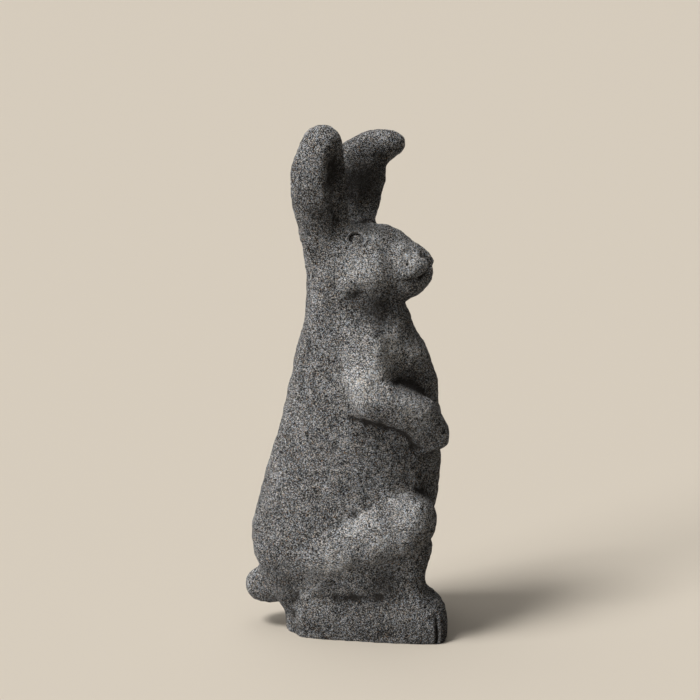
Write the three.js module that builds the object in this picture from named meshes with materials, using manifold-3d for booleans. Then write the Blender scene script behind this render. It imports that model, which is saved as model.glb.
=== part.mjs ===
// A garden rabbit cast in one piece from dark volcanic stone. It sits up on its hind feet, forepaws
// against its chest, right ear upright and left ear bent forward at the tip. Two steel bars are cast
// in: each starts in the flat base and runs up through trunk and neck into one ear, the thin part that
// would otherwise snap off.
//
// Millimetres. +Z is up, the rabbit faces -Y, its own left side is +X, and it stands on Z = 0. Places
// are given as side (from the middle plane), forward (towards the nose) and up (from the floor).

import * as THREE from "three";
import { LoftGeometry } from "three/addons/geometries/LoftGeometry.js";
import { mergeVertices } from "three/addons/utils/BufferGeometryUtils.js";
import Module from "manifold-3d";

const wasm = await Module();
wasm.setup();

// Trunk and neck: height from the floor to the poll, depth from rump to belly, and width across the
// loins. At each station, up is a share of the height, back and front are shares of the depth, and half
// is a share of the width. square is 2 for an elliptical section, and more for a boxier one.
const body = { height: 320, depth: 146, width: 90, pollRound: 15 };
const trunk = [
  { name: "base", up: 0, back: 0.329, front: 0.377, half: 0.322, square: 4.6 },
  { name: "heel", up: 0.0437, back: 0.339, front: 0.377, half: 0.356, square: 4 },
  { name: "underTail", up: 0.1062, back: 0.425, front: 0.37, half: 0.394, square: 3.1 },
  { name: "rump", up: 0.225, back: 0.507, front: 0.397, half: 0.467, square: 2.5 },
  { name: "loin", up: 0.3125, back: 0.476, front: 0.473, half: 0.483, square: 2.2 },
  { name: "belly", up: 0.4062, back: 0.418, front: 0.493, half: 0.461, square: 2.2 },
  { name: "waist", up: 0.5156, back: 0.349, front: 0.49, half: 0.422, square: 2.1 },
  { name: "chest", up: 0.625, back: 0.298, front: 0.473, half: 0.383, square: 2 },
  { name: "shoulder", up: 0.6875, back: 0.271, front: 0.425, half: 0.361, square: 2.4 },
  { name: "collar", up: 0.7438, back: 0.236, front: 0.353, half: 0.344, square: 2.8 },
  { name: "throat", up: 0.7937, back: 0.219, front: 0.315, half: 0.333, square: 2.7 },
  { name: "nape", up: 0.8625, back: 0.212, front: 0.219, half: 0.333, square: 2.4 },
  { name: "crown", up: 0.9437, back: 0.226, front: 0.137, half: 0.333, square: 2.4 },
  { name: "poll", up: 1, back: 0.247, front: 0.11, half: 0.311, square: 2.4 },
];

// Muscles swell the trunk's sides by a share of their reach. Each is turned forward of straight out to
// the side, and fades round and up from its middle.
const muscles = [
  { at: "shoulder", swell: 0.05, turn: 12, round: 40, up: 30 },
  { at: "rump", swell: 0.04, turn: 32, round: 38, up: 34 },
];

// Head. along is a share of its length from the nape to the nose. Over the throat, level is where a
// section is widest, and the section reaches over and under that, all as shares of the height. half is
// a share of the width. keel is the squareness under the jaw line, where less than 2 makes an edge.
const head = { length: 93, height: 62, width: 68, behindThroat: 27, napeRound: 10, noseRound: 11 };
const headStations = [
  {
    name: "nape", along: 0, level: 0.484,
    over: 0.323, under: 0.226, half: 0.265, square: 2, keel: 2,
  },
  {
    name: "skull", along: 0.075, level: 0.484,
    over: 0.468, under: 0.355, half: 0.368, square: 2, keel: 2,
  },
  {
    name: "earLine", along: 0.215, level: 0.484,
    over: 0.556, under: 0.419, half: 0.456, square: 2.1, keel: 1.8,
  },
  {
    name: "eye", along: 0.366, level: 0.468,
    over: 0.589, under: 0.403, half: 0.493, square: 2.1, keel: 1.55,
  },
  {
    name: "brow", along: 0.527, level: 0.452,
    over: 0.6, under: 0.403, half: 0.493, square: 1.95, keel: 1.5,
  },
  {
    name: "bridge", along: 0.677, level: 0.46,
    over: 0.563, under: 0.379, half: 0.426, square: 1.75, keel: 1.5,
  },
  {
    name: "muzzle", along: 0.806, level: 0.476,
    over: 0.454, under: 0.331, half: 0.36, square: 1.75, keel: 1.6,
  },
  {
    name: "lip", along: 0.903, level: 0.5,
    over: 0.303, under: 0.25, half: 0.294, square: 1.8, keel: 1.8,
  },
  {
    name: "nose", along: 1, level: 0.508,
    over: 0.21, under: 0.185, half: 0.206, square: 2, keel: 2,
  },
];
const nosePad = { length: 13, width: 17, height: 14, overNose: 4 };

// An eye sits along the head by a share of its length, and over the cheek by a share of the skull's
// height there.
const eye = { length: 11, height: 7.5, depth: 4, along: 0.333, up: 0.78, tilt: 14, dishDepth: 5.6 };
const eyelid = { length: 16.5, height: 12, thickness: 2.8 };

// The mouth lies under the nose by a share of the chin, and runs back by a share of the head's length.
const mouth = { gape: 2.4, drop: 0.44, corner: 0.29 };

// A nostril's course, seen from a place behind the nose: bearings outward from straight ahead, and
// rises from level.
const nostril = { width: 2.2, behind: 15, bearings: [82, 62, 42, 20], rises: [56, 53, 44, 32] };

// Ears, root to tip. At each station, up and forward are shares of the ear's height, reach is a share
// of its depth to each side of the centre line, and half is a share of its width.
const rightEar = { height: 122, depth: 45.4, width: 34, tipRound: 22 };
const rightEarStations = [
  { name: "root", up: 0, forward: -0.082, reach: 0.264, half: 0.265 },
  { name: "temple", up: 0.197, forward: -0.119, reach: 0.374, half: 0.309 },
  { name: "flare", up: 0.361, forward: -0.137, reach: 0.44, half: 0.368 },
  { name: "blade", up: 0.525, forward: -0.1525, reach: 0.5, half: 0.456 },
  { name: "shoulder", up: 0.705, forward: -0.163, reach: 0.482, half: 0.5 },
  { name: "narrowing", up: 0.885, forward: -0.144, reach: 0.388, half: 0.426 },
  { name: "tip", up: 1, forward: -0.116, reach: 0.396, half: 0.382 },
];
const leftEar = { height: 99, depth: 45.4, width: 34, tipRound: 18 };
const leftEarStations = [
  { name: "root", up: 0, forward: 0, reach: 0.264, half: 0.265 },
  { name: "temple", up: 0.242, forward: 0.02, reach: 0.396, half: 0.309 },
  { name: "flare", up: 0.444, forward: 0.035, reach: 0.463, half: 0.368 },
  { name: "blade", up: 0.646, forward: 0.067, reach: 0.5, half: 0.456 },
  { name: "bend", up: 0.828, forward: 0.114, reach: 0.496, half: 0.5 },
  { name: "fold", up: 0.944, forward: 0.204, reach: 0.352, half: 0.456 },
  { name: "flap", up: 0.995, forward: 0.333, reach: 0.253, half: 0.382 },
  { name: "tip", up: 1, forward: 0.452, reach: 0.242, half: 0.324 },
];
const earRoots = { underPoll: 42, side: 14, lean: 6 };

// Each ear has elliptical sections and is hollow in front. The hollow is a share of the ear's reach,
// opens outward from straight ahead, and runs between two shares of the ear's course.
const elliptical = 2;
const hollow = { depth: 0.56, turn: 37, spread: 42, from: 0.2, to: 0.96, fade: 24 };

// Legs. At each station, side, forward and up place the centre line as shares of the body's width,
// depth and height, half is a share of the leg's width and reach is a share of its thickness.
const upperArm = { width: 36, thickness: 40, startRound: 36, endRound: 12 };
const upperArmStations = [
  { name: "withers", side: 0.156, forward: -0.027, up: 0.8313, half: 0.361, reach: 0.4 },
  { name: "shoulder", side: 0.267, forward: 0.058, up: 0.75, half: 0.444, reach: 0.438 },
  { name: "middle", side: 0.339, forward: 0.096, up: 0.6719, half: 0.486, reach: 0.425 },
  { name: "elbow", side: 0.383, forward: 0.11, up: 0.5938, half: 0.486, reach: 0.4 },
];
const forearm = { width: 33, thickness: 34, startRound: 13, endRound: 11 };
const forearmStations = [
  { name: "elbow", side: 0.367, forward: 0.021, up: 0.6016, half: 0.515, reach: 0.397 },
  { name: "middle", side: 0.4, forward: 0.205, up: 0.5938, half: 0.455, reach: 0.5 },
  { name: "wrist", side: 0.333, forward: 0.353, up: 0.5625, half: 0.409, reach: 0.456 },
  { name: "paw", side: 0.261, forward: 0.428, up: 0.5156, half: 0.379, reach: 0.412 },
  { name: "tip", side: 0.206, forward: 0.483, up: 0.4672, half: 0.348, reach: 0.368 },
];
const thigh = { width: 41, thickness: 50, startRound: 30, endRound: 24 };
const thighStations = [
  { name: "hip", side: 0.289, forward: -0.301, up: 0.1781, half: 0.341, reach: 0.28 },
  { name: "rear", side: 0.344, forward: -0.137, up: 0.2172, half: 0.439, reach: 0.37 },
  { name: "middle", side: 0.367, forward: 0.041, up: 0.2516, half: 0.476, reach: 0.42 },
  { name: "stifle", side: 0.367, forward: 0.219, up: 0.2844, half: 0.5, reach: 0.5 },
  { name: "knee", side: 0.344, forward: 0.356, up: 0.2938, half: 0.488, reach: 0.5 },
  { name: "kneecap", side: 0.317, forward: 0.473, up: 0.2891, half: 0.439, reach: 0.48 },
];
const shank = { width: 34, thickness: 68, startRound: 18, endRound: 10 };
const shankStations = [
  { name: "knee", side: 0.244, forward: 0.178, up: 0.3, half: 0.471, reach: 0.412 },
  { name: "calf", side: 0.278, forward: 0.212, up: 0.2375, half: 0.485, reach: 0.5 },
  { name: "hock", side: 0.289, forward: 0.199, up: 0.175, half: 0.5, reach: 0.471 },
  { name: "ankle", side: 0.289, forward: 0.192, up: 0.0938, half: 0.5, reach: 0.471 },
];
const leftPawBack = 6;
const limbSquare = 2.7;

// Hind feet. along is a share of the foot's length from the heel, side a share of the body's width,
// half a share of the foot's width and top a share of its height. The foot's section is widest at
// edgeUp, and its underside lies under the floor, where it is sawn off flat.
const foot = {
  length: 118,
  width: 43,
  height: 48,
  heelBack: 40,
  heelRound: 6,
  toeRound: 9,
  edgeUp: 4,
  under: 10,
};
const footStations = [
  { name: "heel", along: 0, side: 0.189, half: 0.36, top: 0.729, square: 4 },
  { name: "sole", along: 0.169, side: 0.217, half: 0.43, top: 0.771, square: 3.4 },
  { name: "instep", along: 0.441, side: 0.261, half: 0.465, top: 0.844, square: 3 },
  { name: "ankle", along: 0.703, side: 0.294, half: 0.5, top: 0.99, square: 2.6 },
  { name: "arch", along: 0.805, side: 0.306, half: 0.5, top: 0.927, square: 2.5 },
  { name: "toes", along: 0.898, side: 0.311, half: 0.5, top: 0.729, square: 2.5 },
  { name: "tip", along: 1, side: 0.311, half: 0.488, top: 0.594, square: 2.5 },
];
const leftFootBack = 13;

// Grooves between the toes, as bearings outward from straight ahead, seen from a place behind the tips.
const toeGroove = { width: 2.6, behind: 18, bearings: [66, 26, -16], top: 23, under: 3 };

// Tail, a ball that stands out behind the rump.
const tail = { length: 40, width: 32, height: 30, standsOut: 18.7, up: 32 };

// Cast-in bars: round steel, a bore a little wider, and ends set back from the stone's surface.
const bar = {
  diameter: 5,
  clearance: 0.35,
  setBack: 1.5,
  underTip: 26,
  side: 11,
  baseForward: 2,
  neckForward: -2,
};

// Facets round and along each form.
const facets = {
  trunk: [40, 35],
  head: [30, 21],
  ear: [24, 20],
  arm: [16, 12],
  leg: [18, 13],
  foot: [20, 14],
  ball: [14, 9],
  lid: [6, 16],
  groove: [5, 16],
  bar: [8, 26],
};

// Farther out than any part of the rabbit.
const outside = 2 * (body.height + rightEar.height);

const stone = new THREE.MeshStandardMaterial({ color: 0x6c6b68, roughness: 0.95, metalness: 0 });
const steel = new THREE.MeshStandardMaterial({ color: 0x8f9294, roughness: 0.45, metalness: 0.9 });

const place = (side, forward, up) => new THREE.Vector3(side, -forward, up);
const radians = THREE.MathUtils.degToRad;

// A geometry as a solid. Shared corners are merged, collapsed facets dropped, and faces turned to point
// out.
function solidOf(geometry) {
  const bare = new THREE.BufferGeometry();
  bare.setAttribute("position", geometry.attributes.position);
  bare.setIndex(geometry.index);
  const merged = mergeVertices(bare, 1e-4);
  const corners = merged.index.array;
  const kept = [];
  for (let i = 0; i < corners.length; i += 3) {
    const [a, b, c] = [corners[i], corners[i + 1], corners[i + 2]];
    if (a !== b && b !== c && c !== a) kept.push(a, b, c);
  }
  const build = (triangles) =>
    new wasm.Manifold(
      new wasm.Mesh({
        numProp: 3,
        vertProperties: merged.attributes.position.array,
        triVerts: new Uint32Array(triangles),
      }),
    );
  const made = build(kept);
  return made.volume() > 0 ? made : build(kept.reverse());
}

function geometryOf(solid) {
  const mesh = solid.getMesh();
  const geometry = new THREE.BufferGeometry();
  geometry.setAttribute("position", new THREE.BufferAttribute(mesh.vertProperties, mesh.numProp));
  geometry.setIndex(new THREE.BufferAttribute(mesh.triVerts, 1));
  const flat = geometry.toNonIndexed();
  flat.computeVertexNormals();
  return flat;
}

const join = (solids) => solids.reduce((whole, piece) => whole.add(piece));
const cut = (whole, tools) => tools.reduce((left, tool) => left.subtract(tool), whole);

// A smooth course through rows of numbers, by the distance along their places.
function courseOf(rows) {
  const lengths = [0];
  for (let i = 1; i < rows.length; i++) {
    const stride = Math.hypot(...[0, 1, 2].map((axis) => rows[i][axis] - rows[i - 1][axis]));
    lengths.push(lengths[i - 1] + stride);
  }
  const curve = new THREE.CubicInterpolant(lengths, rows.flat(), rows[0].length);
  return { length: lengths.at(-1), at: (distance) => Array.from(curve.evaluate(distance)) };
}

// How much of its size a section keeps near an end that is rounded off as a quarter ellipse.
function closing(left, round) {
  const smallest = 0.12;
  if (left >= round) return 1;
  return Math.max(smallest, Math.sqrt(1 - (1 - Math.max(left, 0) / round) ** 2));
}

// A form made of sections lofted along a smooth spine. A row has the spine's place as side, forward and
// up, then the section's half width, its reach over and under the spine, its squareness and its
// squareness under the spine. Over is up where the spine runs forward, and back where it climbs. relief
// scales a section by the angle round it and the distance along it.
function loft(rows, [around, along], startRound, endRound, relief = () => 1) {
  const course = courseOf(rows);
  const spineAt = (distance) => {
    const held = THREE.MathUtils.clamp(distance, 0, course.length);
    return place(...course.at(held).slice(0, 3));
  };
  const sections = [];
  for (let i = 0; i <= along; i++) {
    const even = i / along;
    const crowded = (1 - Math.cos(Math.PI * even)) / 2;
    const distance = (course.length * (even + crowded)) / 2;
    const [, , , half, over, under, square, keel = square] = course.at(distance);
    const centre = spineAt(distance);
    const onward = spineAt(distance + 1).sub(spineAt(distance - 1)).normalize();
    const side = new THREE.Vector3(1, 0, 0).addScaledVector(onward, -onward.x).normalize();
    const upward = new THREE.Vector3().crossVectors(onward, side);
    const size = closing(distance, startRound) * closing(course.length - distance, endRound);
    const ring = [];
    for (let j = 0; j < around; j++) {
      const angle = (2 * Math.PI * j) / around;
      const power = 2 / (Math.sin(angle) < 0 ? keel : square);
      const wave = (value) => Math.sign(value) * Math.abs(value) ** power;
      const out = wave(Math.cos(angle)) * half;
      const lift = wave(Math.sin(angle)) * (Math.sin(angle) > 0 ? over : under);
      const scale = size * relief(angle, distance);
      ring.push(centre.clone().addScaledVector(side, out * scale).addScaledVector(upward, lift * scale));
    }
    sections.push(ring);
  }
  return new LoftGeometry(sections, { capStart: true, capEnd: true });
}

function ball(centre, [width, length, height], [around, along] = facets.ball) {
  return new THREE.SphereGeometry(0.5, around, along)
    .rotateX(Math.PI / 2)
    .scale(width, length, height)
    .translate(...centre);
}

// A round cord of the given thickness through the points, to cut a groove or a bore, or to make a bar.
function cord(points, thickness, [around, along]) {
  const outline = new THREE.Shape();
  for (let i = 0; i < around; i++) {
    const angle = (2 * Math.PI * i) / around;
    outline[i ? "lineTo" : "moveTo"]((Math.cos(angle) * thickness) / 2, (Math.sin(angle) * thickness) / 2);
  }
  const path = new THREE.CatmullRomCurve3(points);
  return new THREE.ExtrudeGeometry(outline, { extrudePath: path, steps: along });
}

// How far an angle is from another, at most half a turn.
const turnBetween = (angle, other) => Math.atan2(Math.sin(angle - other), Math.cos(angle - other));
const bell = (offset) => Math.exp(-(offset ** 2));

// A heading from its bearing outward from straight ahead and its rise from level.
function heading(side, bearing, rise) {
  const [out, up] = [radians(bearing), radians(rise)];
  return place(side * Math.sin(out) * Math.cos(up), Math.cos(out) * Math.cos(up), Math.sin(up));
}

// Where a form's skin is met by someone who looks in from outside towards a place, and which way it
// faces there.
function skinFrom(mesh, inside, direction) {
  const start = inside.clone().addScaledVector(direction, outside);
  const ray = new THREE.Raycaster(start, direction.clone().negate());
  const [hit] = ray.intersectObject(mesh);
  return { point: hit.point, normal: hit.face.normal.clone() };
}

// Trunk and neck.
const station = (stations, name) => stations.find((mark) => mark.name === name);
const trunkUp = (name) => station(trunk, name).up * body.height;
function trunkForm() {
  const rows = trunk.map((mark) => [
    0,
    0,
    mark.up * body.height,
    mark.half * body.width,
    mark.back * body.depth,
    mark.front * body.depth,
    mark.square,
  ]);
  const swelling = (angle, up) =>
    muscles.reduce((scale, muscle) => {
      const turn = radians(muscle.turn);
      const fromRight = Math.abs(turnBetween(angle, Math.PI + turn));
      const nearer = Math.min(Math.abs(turnBetween(angle, -turn)), fromRight);
      const fade = bell(nearer / radians(muscle.round)) * bell((up - trunkUp(muscle.at)) / muscle.up);
      return scale + muscle.swell * fade;
    }, 1);
  return loft(rows, facets.trunk, 0, body.pollRound, swelling);
}

// Head, hung from the throat.
const headForward = (name) => station(headStations, name).along * head.length - head.behindThroat;
const cheekUp = (name) => trunkUp("throat") + station(headStations, name).level * head.height;
function headForm() {
  const rows = headStations.map((mark) => [
    0,
    headForward(mark.name),
    cheekUp(mark.name),
    mark.half * head.width,
    mark.over * head.height,
    mark.under * head.height,
    mark.square,
    mark.keel,
  ]);
  return loft(rows, facets.head, head.napeRound, head.noseRound);
}

function nosePadForm() {
  const centre = place(0, headForward("nose") - nosePad.length / 2, cheekUp("nose") + nosePad.overNose);
  return ball(centre, [nosePad.width, nosePad.length, nosePad.height]);
}

// An eye: a dish sunk in the head, a ball in it and a lid round it, all square to the skin there.
function eyeForms(headMesh, side) {
  const skull = station(headStations, "eye").over * head.height;
  const inside = place(0, eye.along * head.length - head.behindThroat, cheekUp("eye") + eye.up * skull);
  const { point, normal } = skinFrom(headMesh, inside, place(side, 0, 0));
  const turn = new THREE.Quaternion().setFromUnitVectors(new THREE.Vector3(side, 0, 0), normal);
  const tilt = new THREE.Matrix4().makeRotationX(radians(-eye.tilt));
  const seat = new THREE.Matrix4().compose(point, turn, new THREE.Vector3(1, 1, 1)).multiply(tilt);
  const [long, tall] = [eyelid.length - eyelid.thickness, eyelid.height - eyelid.thickness];
  const lid = new THREE.TorusGeometry(0.5, eyelid.thickness / (long + tall), ...facets.lid)
    .rotateY(Math.PI / 2)
    .scale((long + tall) / 2, long, tall);
  const underLid = eyelid.thickness / 2;
  const dish = ball([0, 0, 0], [eye.dishDepth, long + underLid, tall + underLid]);
  const eyeball = ball([0, 0, 0], [eye.depth, eye.length, eye.height]);
  return { dish: dish.applyMatrix4(seat), eyeball: eyeball.applyMatrix4(seat), lid: lid.applyMatrix4(seat) };
}

// The mouth: a groove that follows the muzzle's skin from one corner round the lips to the other.
function mouthGroove(headMesh) {
  const drop = mouth.drop * station(headStations, "nose").under * head.height;
  const inside = place(0, headForward("nose") - mouth.corner * head.length, cheekUp("nose") - drop);
  const bearings = Array.from({ length: 13 }, (_, i) => 15 * (i - 6));
  const points = bearings.map((bearing) => skinFrom(headMesh, inside, heading(1, bearing, 0)).point);
  return cord(points, mouth.gape, facets.groove);
}

// A nostril: a short groove over the muzzle's shoulder to the front of the nose pad.
function nostrilGroove(headMesh, side) {
  const inside = place(0, headForward("nose") - nostril.behind, cheekUp("nose"));
  const points = nostril.bearings.map((bearing, i) =>
    skinFrom(headMesh, inside, heading(side, bearing, nostril.rises[i])).point);
  return cord(points, nostril.width, facets.groove);
}

// Ears. The hollow opens forward and outward, and fades towards the root and the tip.
const earRootUp = body.height - earRoots.underPoll;
function earRows(ear, stations, side) {
  const lean = Math.tan(radians(earRoots.lean));
  return stations.map((mark) => [
    side * (earRoots.side + lean * mark.up * ear.height),
    mark.forward * ear.height,
    earRootUp + mark.up * ear.height,
    mark.half * ear.width,
    mark.reach * ear.depth,
    mark.reach * ear.depth,
    elliptical,
  ]);
}
function earForm(ear, stations, side) {
  const turn = radians(hollow.turn);
  const opening = Math.atan2(-Math.cos(turn), side * Math.sin(turn));
  const rows = earRows(ear, stations, side);
  const [from, to] = [hollow.from, hollow.to].map((share) => share * courseOf(rows).length);
  const dish = (angle, distance) => {
    const fadeIn = THREE.MathUtils.smoothstep(distance, from, from + hollow.fade);
    const fadeOut = THREE.MathUtils.smoothstep(distance, to - hollow.fade, to);
    const across = bell((turnBetween(angle, opening) / radians(hollow.spread)) ** 2);
    return 1 - hollow.depth * fadeIn * (1 - fadeOut) * across;
  };
  return loft(rows, facets.ear, 0, ear.tipRound, dish);
}

// A limb's rows. back draws its far end back, and every station by its share of the way there.
function limbRows(limb, stations, side, back) {
  return stations.map((mark, i) => [
    side * mark.side * body.width,
    mark.forward * body.depth - (back * i) / (stations.length - 1),
    mark.up * body.height,
    mark.half * limb.width,
    mark.reach * limb.thickness,
    mark.reach * limb.thickness,
    limbSquare,
  ]);
}
function limbForm(limb, stations, grid, side, back = 0) {
  return loft(limbRows(limb, stations, side, back), grid, limb.startRound, limb.endRound);
}

// A foot, with its grooves run down the skin from over the toes to under the floor.
function footSolid(side, back) {
  const rows = footStations.map((mark, i) => [
    side * mark.side * body.width,
    mark.along * foot.length - foot.heelBack - (back * i) / (footStations.length - 1),
    foot.edgeUp,
    mark.half * foot.width,
    mark.top * foot.height - foot.edgeUp,
    foot.edgeUp + foot.under,
    mark.square,
  ]);
  const whole = solidOf(loft(rows, facets.foot, foot.heelRound, foot.toeRound));
  const footMesh = new THREE.Mesh(geometryOf(whole));
  const [tipSide, tipForward] = rows.at(-1);
  const grooves = toeGroove.bearings.map((bearing) => {
    const points = [1, 0.66, 0.33, 0].map((share) => {
      const up = THREE.MathUtils.lerp(-toeGroove.under, toeGroove.top, share);
      const inside = place(tipSide, tipForward - toeGroove.behind, up);
      return skinFrom(footMesh, inside, heading(side, bearing, 0)).point;
    });
    return solidOf(cord(points, toeGroove.width, facets.groove));
  });
  return cut(whole, grooves);
}

function tailForm() {
  const behind = station(trunk, "underTail").back * body.depth + tail.standsOut;
  return ball(place(0, tail.length / 2 - behind, tail.up), [tail.width, tail.length, tail.height]);
}

// A bar's centre line: up from the base, bent back into the neck, and on along the ear's own spine.
function barPoints(ear, stations, side) {
  const spine = courseOf(earRows(ear, stations, side));
  const top = spine.length - bar.underTip;
  return [
    place(side * bar.side, bar.baseForward, 0),
    place(side * bar.side, bar.baseForward, trunkUp("waist")),
    place(side * bar.side, bar.neckForward, trunkUp("throat")),
    ...[0.3, 0.65, 1].map((share) => place(...spine.at(share * top).slice(0, 3))),
  ];
}

// The same line, longer at the ends by the given amount.
function stretched(points, extra) {
  const path = new THREE.CatmullRomCurve3(points);
  const first = points[0].clone().addScaledVector(path.getTangent(0), -extra);
  const last = points.at(-1).clone().addScaledVector(path.getTangent(1), extra);
  return [first, ...points.slice(1, -1), last];
}
const barForm = (points) => cord(stretched(points, -bar.setBack), bar.diameter, facets.bar);
const boreWide = bar.diameter + 2 * bar.clearance;
const boreForm = (points) => cord(stretched(points, bar.clearance), boreWide, facets.bar);

// The casting: every form joined, the face cut, the bores opened and the base sawn flat on the floor. A
// void shut in between the forms is stone, so only the outer skin is kept.
function castingGeometry(barLines) {
  const headMesh = new THREE.Mesh(geometryOf(solidOf(headForm()).add(solidOf(nosePadForm()))));
  const eyes = [-1, 1].map((side) => eyeForms(headMesh, side));
  const face = cut(solidOf(headMesh.geometry), [
    ...eyes.map(({ dish }) => solidOf(dish)),
    solidOf(mouthGroove(headMesh)),
    ...[-1, 1].map((side) => solidOf(nostrilGroove(headMesh, side))),
  ]);
  const forms = [
    trunkForm(),
    ...eyes.flatMap(({ eyeball, lid }) => [eyeball, lid]),
    earForm(rightEar, rightEarStations, -1),
    earForm(leftEar, leftEarStations, 1),
    limbForm(upperArm, upperArmStations, facets.arm, -1),
    limbForm(upperArm, upperArmStations, facets.arm, 1),
    limbForm(forearm, forearmStations, facets.arm, -1),
    limbForm(forearm, forearmStations, facets.arm, 1, leftPawBack),
    limbForm(thigh, thighStations, facets.leg, -1),
    limbForm(thigh, thighStations, facets.leg, 1),
    limbForm(shank, shankStations, facets.leg, -1),
    limbForm(shank, shankStations, facets.leg, 1),
    tailForm(),
  ];
  const joined = join([face, footSolid(-1, 0), footSolid(1, leftFootBack), ...forms.map(solidOf)]);
  const [filled] = joined.decompose().sort((a, b) => b.volume() - a.volume());
  const floor = new THREE.BoxGeometry(outside, outside, outside).translate(0, 0, -outside / 2);
  return geometryOf(cut(filled, [floor, ...barLines.map(boreForm)].map(solidOf)));
}

const rabbit = new THREE.Group();
function add(name, geometry, material) {
  const mesh = new THREE.Mesh(geometry, material);
  mesh.name = name;
  rabbit.add(mesh);
}
const rightBarLine = barPoints(rightEar, rightEarStations, -1);
const leftBarLine = barPoints(leftEar, leftEarStations, 1);
add("cast_body", castingGeometry([rightBarLine, leftBarLine]), stone);
add("right_ear_bar", barForm(rightBarLine), steel);
add("left_ear_bar", barForm(leftBarLine), steel);

// The origin is on the floor, under the middle of the rabbit's outline.
const outline = new THREE.Box3().setFromObject(rabbit);
const middle = outline.getCenter(new THREE.Vector3());
rabbit.position.set(-middle.x, -middle.y, 0);

export default rabbit;
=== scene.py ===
import math

import bmesh
import bpy
import numpy as np
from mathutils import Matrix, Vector


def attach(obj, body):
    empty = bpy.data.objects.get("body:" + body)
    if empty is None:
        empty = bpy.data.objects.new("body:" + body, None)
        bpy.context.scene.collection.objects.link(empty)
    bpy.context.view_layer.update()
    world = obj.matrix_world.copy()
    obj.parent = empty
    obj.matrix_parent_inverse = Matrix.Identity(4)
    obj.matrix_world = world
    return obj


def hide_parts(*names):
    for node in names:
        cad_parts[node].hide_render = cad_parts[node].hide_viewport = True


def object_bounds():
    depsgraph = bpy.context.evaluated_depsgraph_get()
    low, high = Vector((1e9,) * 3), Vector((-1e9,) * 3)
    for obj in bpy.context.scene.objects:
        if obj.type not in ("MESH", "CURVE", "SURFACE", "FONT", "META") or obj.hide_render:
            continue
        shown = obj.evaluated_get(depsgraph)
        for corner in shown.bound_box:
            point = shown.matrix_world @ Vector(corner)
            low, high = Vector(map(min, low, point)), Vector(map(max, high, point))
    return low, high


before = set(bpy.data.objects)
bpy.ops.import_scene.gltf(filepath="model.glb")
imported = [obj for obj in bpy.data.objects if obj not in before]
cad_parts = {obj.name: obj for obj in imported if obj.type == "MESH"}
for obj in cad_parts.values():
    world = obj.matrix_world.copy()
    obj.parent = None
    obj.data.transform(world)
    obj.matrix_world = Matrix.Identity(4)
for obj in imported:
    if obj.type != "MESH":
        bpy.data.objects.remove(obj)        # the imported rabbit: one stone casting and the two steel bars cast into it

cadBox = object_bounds()
mm = 0.001
print("frame loaded:", sorted(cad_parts))

# Places are side (its own left is +), forward (to the nose) and up (from the floor), in millimetres.
spineShift = -0.97       # the solids' middle lies this far in front of the trunk's middle line


def place(points):
    # side, forward, up in millimetres become x, y, z in metres
    side, forward, up = np.moveaxis(np.asarray(points, float), -1, 0)
    return np.stack([side, spineShift - forward, up], axis=-1) * mm


def unplace(points):
    # x, y, z in metres become side, forward, up in millimetres
    x, y, z = np.moveaxis(points / mm, -1, 0)
    return np.stack([x, spineShift - y, z], axis=-1)


def bell(offset):
    return np.exp(-offset ** 2)


def smoothStep(value, low, high):
    share = np.clip((value - low) / (high - low), 0, 1)
    return share * share * (3 - 2 * share)


def turnBetween(angle, other):
    return np.arctan2(np.sin(angle - other), np.cos(angle - other))


def alongRows(rows, distances):
    # a cubic through the rows by distance, whose slope at each row is the mean of the slopes on its two sides
    steps = np.linalg.norm(np.diff(rows[:, :3], axis=0), axis=1)
    marks = np.concatenate([[0], np.cumsum(steps)])
    chords = np.diff(rows, axis=0) / steps[:, None]
    slopes = np.vstack([chords[:1], (chords[:-1] + chords[1:]) / 2, chords[-1:]])
    first = np.clip(np.searchsorted(marks, distances, side="right") - 1, 0, len(steps) - 1)
    span = steps[first][:, None]
    t = (distances - marks[first])[:, None] / span
    return (
        (2 * t**3 - 3 * t**2 + 1) * rows[first]
        + (t**3 - 2 * t**2 + t) * span * slopes[first]
        + (3 * t**2 - 2 * t**3) * rows[first + 1]
        + (t**3 - t**2) * span * slopes[first + 1]
    )


def lengthOf(rows):
    return np.linalg.norm(np.diff(rows[:, :3], axis=0), axis=1).sum()


# No section gets narrower than this share of its size.
narrowest = 0.04


def closing(left, ending):
    # the share of its size that a section keeps near an end rounded off as a quarter ellipse
    if not ending:
        return np.ones_like(left)
    return np.maximum(narrowest, np.sqrt(1 - (1 - np.clip(left / ending, 0, 1)) ** 2))


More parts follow.
